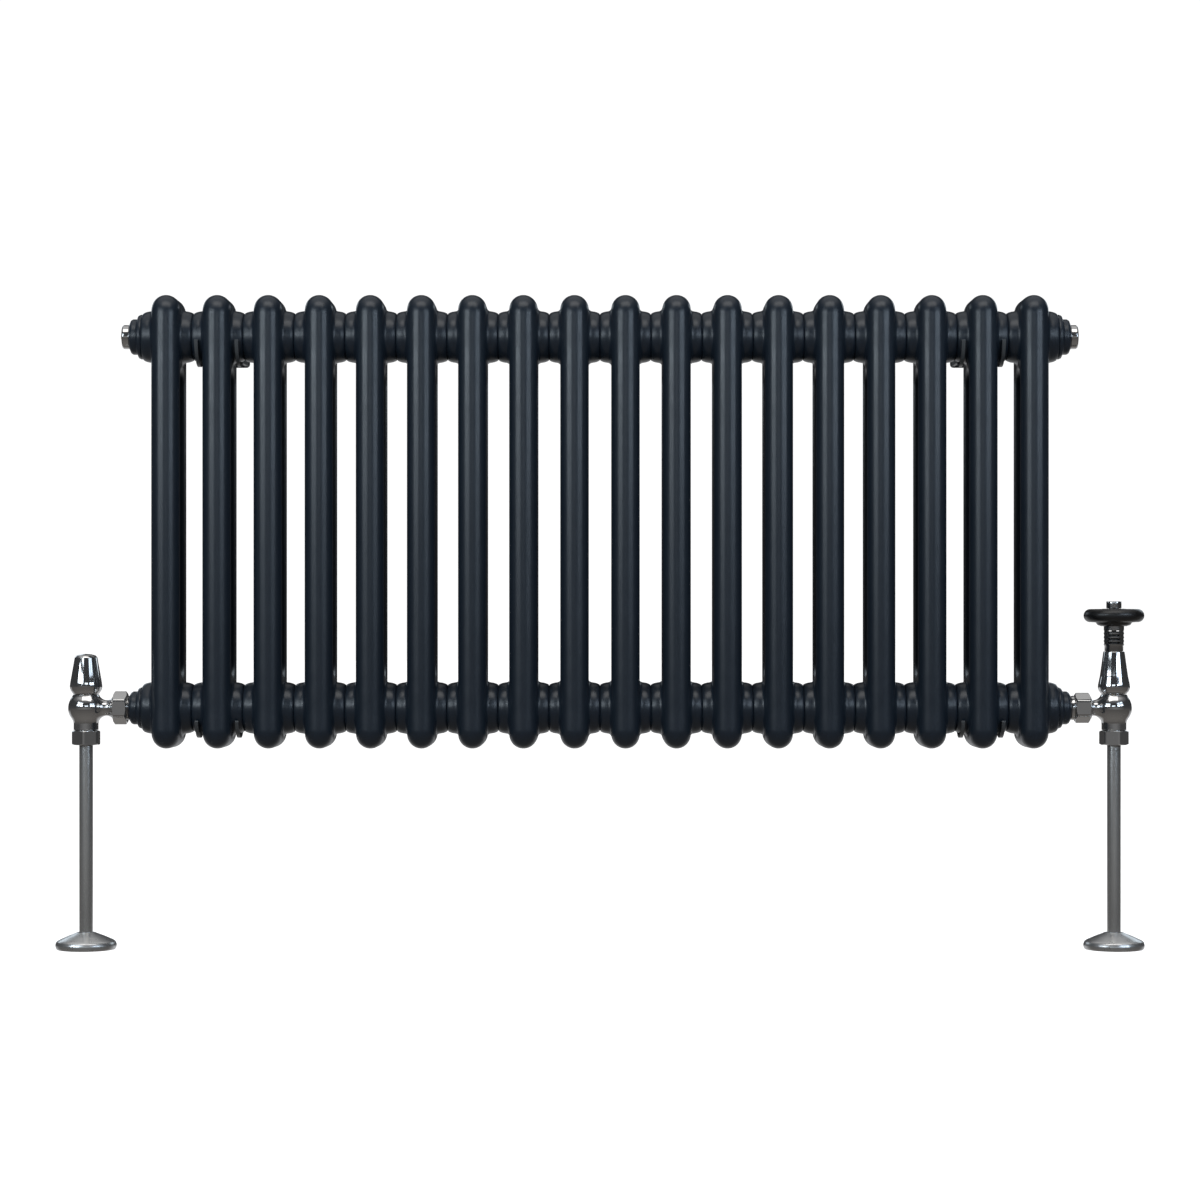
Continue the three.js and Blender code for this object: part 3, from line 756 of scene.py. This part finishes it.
def spindle():
    """A round stem with a square end for a key."""
    angles = once_round(96)
    square = squared(angles, 2.1, 2.75)
    stem = [(3.0, 0.5), (3.0, 21.6), (2.9, 21.9), (square, 22.1), (square, 26.6), (square - 0.3, 27.0)]
    return skin([axis_point(0.5), *[ring(r, z, angles) for r, z in stem], axis_point(27.0)])


mesh = mesh_of("bonnet", turned(bonnet))
piece("lockshield_brass_bonnet", mesh, BRASS, ["lockshield_bonnet"], at=left_at)
mesh = mesh_of("spindle", spindle())
piece(
    "lockshield_brass_spindle", mesh, BRASS, ["lockshield_spindle"], "lockshield_spindle", left_at,
)

# ---- Thermostatic head ----

right_at = (RIGHT_X, AXIS_Y, LOW_HUB)


def head_piece(name, shape, material, node, body=HANDLE):
    piece(name, mesh_of(node, shape), material, [node], body, right_at, True)


bell = [
    (9.6, 12.4), (11.0, 12.4, 0.4), (13.2, 15.0, 2.0), (14.2, 18.4, 2.2), (13.9, 21.0, 5.0),
    (12.4, 28.0, 20.0), (9.4, 49.4, 0.6), (9.0, 50.1, 0.3), (7.8, 50.1), (7.8, 40), (9.6, 24),
]
head_piece("thermostat_bell", turned(bell, 128), CHROME, "thermostat_bell_cover", BODY)

NECK_R, NECK_BORE = 8.9, 6.2
NECK_FOOT, NECK_TOP = 38.0, 75.6
SLOT_ROWS, SLOT_HEIGHT = (56.9, 60.1, 63.5, 67.0), 1.7
SLOTS_ROUND, SLOT_TURN, SLOT_HALF_TURN = 3, 80, 46
SLOT_EDGE = 0.25  # rounding of the slots' edges, outside


def neck():
    """The sleeve under the wheel, with rows of slots right through it."""
    sides = 180
    angles = once_round(sides)
    turn = (np.degrees(angles + math.pi / sides) - SLOT_TURN) % (360 / SLOTS_ROUND)
    open_columns = np.minimum(turn, 360 / SLOTS_ROUND - turn) < SLOT_HALF_TURN
    outside = [
        (NECK_BORE, NECK_FOOT), (7.2, NECK_FOOT, 0.2), (7.2, 50.4), (8.2, 50.4, 0.3), (8.2, 54.8),
        (8.6, 55.6), (NECK_R, 56.2),
    ]
    rows = [ring(r, z, angles) for r, z in filleted(outside)]
    near = np.minimum(np.roll(open_columns, 1), open_columns)  # columns' corners inside the slots
    slot_pairs = []
    for low in SLOT_ROWS:
        high = low + SLOT_HEIGHT
        rows += [ring(NECK_R, low - SLOT_EDGE, angles), ring(NECK_R - SLOT_EDGE * near, low, angles)]
        slot_pairs.append(len(rows) - 1)
        rows += [ring(NECK_R - SLOT_EDGE * near, high, angles), ring(NECK_R, high + SLOT_EDGE, angles)]
    rows += [ring(NECK_R, NECK_TOP, angles), ring(NECK_BORE, NECK_TOP, angles)]
    inner_pairs = []
    for low in SLOT_ROWS[::-1]:
        rows.append(ring(NECK_BORE, low + SLOT_HEIGHT, angles))
        inner_pairs.append(len(rows) - 1)
        rows.append(ring(NECK_BORE, low, angles))
    points, faces = skin(rows, closed=True)
    cut = set()
    walls = []
    for outer, inner in zip(slot_pairs, inner_pairs[::-1]):
        for i in np.flatnonzero(open_columns):
            j = (i + 1) % sides
            cut |= {outer * sides + i, inner * sides + i}
            low_out, high_out = outer * sides, (outer + 1) * sides
            high_in, low_in = inner * sides, (inner + 1) * sides
            walls += [
                [low_out + j, low_out + i, low_in + i, low_in + j],
                [high_out + i, high_out + j, high_in + j, high_in + i],
            ]
            if not open_columns[i - 1]:
                walls.append([low_out + i, high_out + i, high_in + i, low_in + i])
            if not open_columns[j]:
                walls.append([high_out + j, low_out + j, low_in + j, high_in + j])
    return points, [face for k, face in enumerate(faces) if k not in cut] + walls


# The neck uses the darker chrome: painted shade.
head_piece("thermostat_slotted_neck", neck(), DARK_CHROME, "thermostat_neck")

RIM_R, RIM_Z, RIM_WIDE, RIM_HIGH = 20.7, 81.9, 5.9, 5.85  # the wheel's rounded rim
rim = [
    (RIM_R + RIM_WIDE * math.cos(a), RIM_Z + RIM_HIGH * math.sin(a))
    for a in np.radians(np.linspace(-80, 80, 15))
]
wheel = [
    (4.6, 75.9), (9.3, 75.9), (9.3, 72.6), (11.0, 72.5, 0.5), (14.4, 73.6, 2.0), (15.9, 75.8, 0.6),
    (19.0, 76.1, 3.0), *rim, (18.0, 87.7, 4.0), (14.5, 87.2, 3.0), (11.5, 87.5, 2.0), (10.0, 88.0, 0.8),
    (4.6, 88.0),
]
head_piece("thermostat_wooden_wheel", turned(wheel, 160), WOOD, "thermostat_wheel")

NOTCHES, NOTCH_DEPTH = 6, 1.2
NOTCH_HALF, NOTCH_SLOPE = 0.12, 0.03  # as shares of the way from one notch to the next


def top_nut():
    """A round nut whose top is cut into castles."""
    angles = once_round(216)
    rows = [axis_point(77.0), ring(4.2, 77.0, angles), ring(4.2, 88.2, angles)]
    for r, z in filleted([(4.3, 88.25), (6.5, 88.25, 0.3), (6.65, 89.0, 0.3), (6.65, 92.4)]):
        rows.append(ring(r, z, angles))
    phase = (angles * NOTCHES / (2 * math.pi)) % 1.0
    cut = np.clip((NOTCH_HALF - np.abs(phase - 0.5)) / NOTCH_SLOPE, 0, 1) * NOTCH_DEPTH
    for r, z in ((6.65, 94.0), (6.55, 94.3), (6.3, 94.5), (4.2, 94.5), (4.0, 94.4)):
        rows.append(ring(r, z - cut, angles))
    rows += [ring(3.8, 92.8, angles), ring(3.6, 92.6, angles), axis_point(92.6)]
    return skin(rows)


# The castle nut uses the darker chrome: painted shade.
head_piece("thermostat_castle_nut", top_nut(), DARK_CHROME, "thermostat_top_nut")
sensor = turned([(0, 30.3), (2.2, 30.3, 0.2), (2.2, 34), (5.4, 36, 0.5), (5.4, 68, 0.6), (0, 68)], 64)
head_piece(
    "thermostat_wax_sensor", sensor, PLASTIC, "thermostat_sensor", "thermostat_plunger",
)

# ---- Pipes and floor plates ----

PIPE_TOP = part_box("pipe_left")[1].z / MM
plate = [
    (6.4, 0.2), (24.8, 0.2), (25.6, 0.0, 0.4), (26.7, 1.6, 1.5), (27.0, 4.2, 2.0), (26.0, 6.8, 1.6),
    (24.0, 8.2, 2.0), (16.0, 11.8, 20.0), (9.6, 14.3, 1.0), (8.2, 15.0, 0.4), (6.4, 15.0),
]
for side, x in (("left", LEFT_X), ("right", RIGHT_X)):
    tube = turned([(5.2, 0), (6.0, 0, 0.2), (6.0, PIPE_TOP, 0.3), (5.2, PIPE_TOP)], 72)
    at = (x, AXIS_Y, 0)
    mesh = mesh_of("pipe", tube)
    piece(f"pipe_tube_{side}", mesh, PIPE_CHROME, [f"pipe_{side}"], at=at)
    mesh = mesh_of("plate", turned(plate, 128))
    piece(f"floor_rose_{side}", mesh, PLATE_CHROME, [f"floor_plate_{side}"], at=at)

# ---- What stays from the frame, mostly hidden inside the valves ----

KEPT = {
    "lockshield_olive": BRASS, "thermostat_olive": BRASS, "lockshield_plug": BRASS,
    "thermostat_insert": BRASS, "thermostat_pin": STEEL,
}
for node, material in KEPT.items():
    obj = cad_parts[node]
    for material_slot in obj.material_slots:
        material_slot.link = "OBJECT"
        material_slot.material = material

# ---- Floor, light and camera ----

floor_nodes = Nodes("pale_floor", Roughness=0.9)
floor_nodes.colour(floor_nodes.ramp(floor_nodes.noise(0.6, 3), (0.3, 0.93), (0.7, 0.96)))
floor_nodes.shader.inputs["Emission Color"].default_value = (1, 1, 1, 1)
floor_nodes.shader.inputs["Emission Strength"].default_value = 0.9
floor_mesh = bpy.data.meshes.new("floor")
FLOOR_HALF = 30.0
corners = [(x * FLOOR_HALF, y * FLOOR_HALF, 0) for x, y in ((-1, -1), (1, -1), (1, 1), (-1, 1))]
floor_mesh.from_pydata(corners, [], [(0, 1, 2, 3)])
floor_mesh.materials.append(floor_nodes.material)
floor = bpy.data.objects.new("floor", floor_mesh)
floor.visible_glossy = False
floor.visible_diffuse = False
bpy.context.scene.collection.objects.link(floor)

world = bpy.data.worlds.new("studio")
bpy.context.scene.world = world
world.use_nodes = True
tree = world.node_tree
tree.nodes.clear()
output = tree.nodes.new("ShaderNodeOutputWorld")
coordinate = tree.nodes.new("ShaderNodeTexCoord")
split = tree.nodes.new("ShaderNodeSeparateXYZ")
tree.links.new(coordinate.outputs["Generated"], split.inputs["Vector"])


def sky_ramp(value, *stops):
    """Colours or grey values along one component of the direction, which goes from -1 to 1."""
    spread = tree.nodes.new("ShaderNodeMapRange")
    spread.inputs["From Min"].default_value = -1.0
    tree.links.new(value, spread.inputs["Value"])
    stops = [((component + 1) / 2, colour) for component, colour in stops]
    return colour_ramp(tree, spread.outputs["Result"], stops)


# By height: a brown-grey floor, a dark room and a pale ceiling.
room_colours = sky_ramp(
    split.outputs["Z"], (-1.0, (0.17, 0.16, 0.15)), (-0.45, (0.115, 0.107, 0.10)),
    (-0.12, (0.075, 0.07, 0.066)), (0.0, (0.03, 0.03, 0.031)), (0.5, (0.025, 0.026, 0.028)),
    (0.7, (0.16, 0.16, 0.165)), (0.82, 0.5), (1.0, 0.6),
)
# A pale band at the horizon, in front of the radiator only.
horizon = sky_ramp(split.outputs["Z"], (-0.2, 0), (-0.08, 0.14), (0.06, 0.14), (0.14, 0))
in_front = sky_ramp(split.outputs["Y"], (-1.0, 1), (-0.9, 0.7), (-0.5, 0.1))
# A paler floor behind it only, so that its back shows.
pale_floor = sky_ramp(split.outputs["Z"], (-0.9, 0.3), (-0.16, (0.6, 0.62, 0.65)), (-0.1, 0))
behind = sky_ramp(split.outputs["Y"], (0.4, 0), (0.8, 1), (1.0, 1))
room = blended(tree, "ADD", room_colours, blended(tree, "MULTIPLY", horizon, in_front))
room = blended(tree, "ADD", room, blended(tree, "MULTIPLY", pale_floor, behind))
dim = tree.nodes.new("ShaderNodeBackground")
tree.links.new(room, dim.inputs["Color"])
white = tree.nodes.new("ShaderNodeBackground")
white.inputs["Color"].default_value = (1, 1, 1, 1)
white.inputs["Strength"].default_value = 1.05
rays = tree.nodes.new("ShaderNodeLightPath")
choose = tree.nodes.new("ShaderNodeMixShader")
tree.links.new(rays.outputs["Is Camera Ray"], choose.inputs["Fac"])
tree.links.new(dim.outputs["Background"], choose.inputs[1])
tree.links.new(white.outputs["Background"], choose.inputs[2])
tree.links.new(choose.outputs["Shader"], output.inputs["Surface"])


LIGHTS_AIM = Vector((0, 0, 0.45))


def softbox(name, azimuth, elevation, distance, width, height, radiance, colour):
    """Azimuth 0 is in front of the radiator and 90 to its right."""
    a, e = math.radians(azimuth), math.radians(elevation)
    way = Vector((math.sin(a) * math.cos(e), -math.cos(a) * math.cos(e), math.sin(e)))
    light = bpy.data.lights.new(name, "AREA")
    light.shape = "RECTANGLE"
    light.size, light.size_y = width, height
    light.energy = radiance * math.pi * width * height
    light.color = colour
    obj = bpy.data.objects.new(name, light)
    obj.location = LIGHTS_AIM + way * distance
    obj.rotation_mode = "QUATERNION"
    obj.rotation_quaternion = (-way).to_track_quat("-Z", "Y")
    bpy.context.scene.collection.objects.link(obj)


# Two windows of four panes each in front, a dim screen between them, a wide dim light overhead
# and two dim panes behind.
COOL, BLUE, WARM = (0.80, 0.91, 1.0), (0.70, 0.84, 1.0), (1.0, 0.98, 0.95)
PANE = 2.2, 0.56, 0.34  # distance, width, height
WINDOWS = {"left": ((-33, -52), 8.0, 3.0, COOL), "right": ((34, 53), 6.0, 2.2, BLUE)}
for side, (azimuths, low_radiance, high_radiance, colour) in WINDOWS.items():
    for i, azimuth in enumerate(azimuths):
        softbox(f"{side}_pane_low_{i}", azimuth, 8.5, *PANE, low_radiance, colour)
        softbox(f"{side}_pane_high_{i}", azimuth, 21, *PANE, high_radiance, colour)
softbox("middle_screen", 0, 7.5, 2.2, 0.9, 0.24, 2.4, COOL)
softbox("overhead", 0, 62, 2.4, 2.6, 1.2, 1.6, WARM)
for side, azimuth in (("left", -146), ("right", 146)):
    softbox(f"back_pane_{side}", azimuth, 14, 2.6, 1.1, 0.7, 1.3, COOL)

CAMERA_BACK, CAMERA_UP, CAMERA_SHIFT = 2.662, 0.2787, 7 / 240  # the shift is a share of the frame
camera_data = bpy.data.cameras.new("camera")
camera_data.lens = 90
camera_data.sensor_width = 36
camera_data.shift_y = CAMERA_SHIFT
camera_data.clip_start, camera_data.clip_end = 0.1, 100
camera = bpy.data.objects.new("camera", camera_data)
camera.location = (0, AXIS_Y - CAMERA_BACK, CAMERA_UP)
camera.rotation_euler = (math.pi / 2, 0, 0)
bpy.context.scene.collection.objects.link(camera)
bpy.context.scene.camera = camera
bpy.context.scene.view_settings.view_transform = "Standard"
